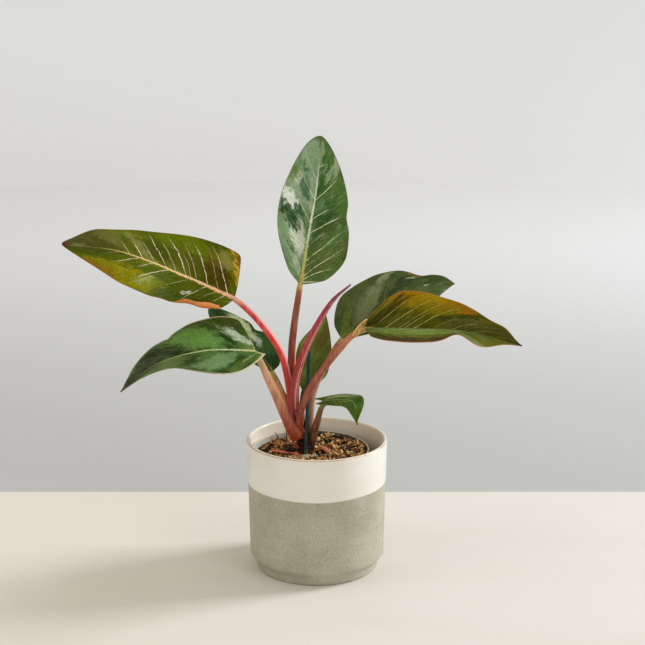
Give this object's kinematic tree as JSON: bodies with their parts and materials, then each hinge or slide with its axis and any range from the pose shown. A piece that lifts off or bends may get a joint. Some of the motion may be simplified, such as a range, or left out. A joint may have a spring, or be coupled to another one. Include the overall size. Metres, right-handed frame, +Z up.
{
  "type": "potted philodendron plant",
  "caption": "Philodendron with large pointed leaves on red stalks, in a nursery pot of bark mix inside a round half-glazed stoneware cover pot.",
  "frame": {"origin": "centre of the cover pot's flat foot, on the surface it stands on", "axes": "+Z up along the pot's axis; -Y towards the side usually looked at; +X to the right seen from there, the side of the paired right-hand leaves"},
  "size_m": [0.4363, 0.1585, 0.43],
  "materials": {
    "cover_pot": "white gloss glaze on the upper third and inside, bare speckled matte clay below",
    "nursery_pot": "thin dark moulded plastic with a paler scuffed rim",
    "soil": "coarse dry bark and coir chips",
    "stems": "smooth red-brown living stalks, dark maroon at the trunk",
    "leaf_top": "glossy leaf, pale veins",
    "leaf_upper_left": "olive to yellow-green leaf, pinkish-white veins",
    "leaf_lower_left": "glossy deep green leaf",
    "leaf_behind_left": "glossy dark green leaf",
    "leaf_back_right": "glossy grey-green leaf",
    "leaf_front_right": "olive to brown-orange leaf, pale veins",
    "leaf_centre": "dark green leaf",
    "leaf_small": "small bright green leaf with a dry dark tip",
    "stake": "dark green coated rod",
    "dry_strips": "dried pink-red sheath"
  },
  "bodies": {
    "root": {"cover_pot": "cover_pot", "nursery_pot": "nursery_pot", "soil": "soil", "stems": "stems", "leaf_top": "leaf_top", "leaf_upper_left": "leaf_upper_left", "leaf_lower_left": "leaf_lower_left", "leaf_behind_left": "leaf_behind_left", "leaf_back_right": "leaf_back_right", "leaf_front_right": "leaf_front_right", "leaf_centre": "leaf_centre", "leaf_small": "leaf_small", "stake": "stake", "dry_strip_1": "dry_strips", "dry_strip_2": "dry_strips"}
  },
  "joints": []
}
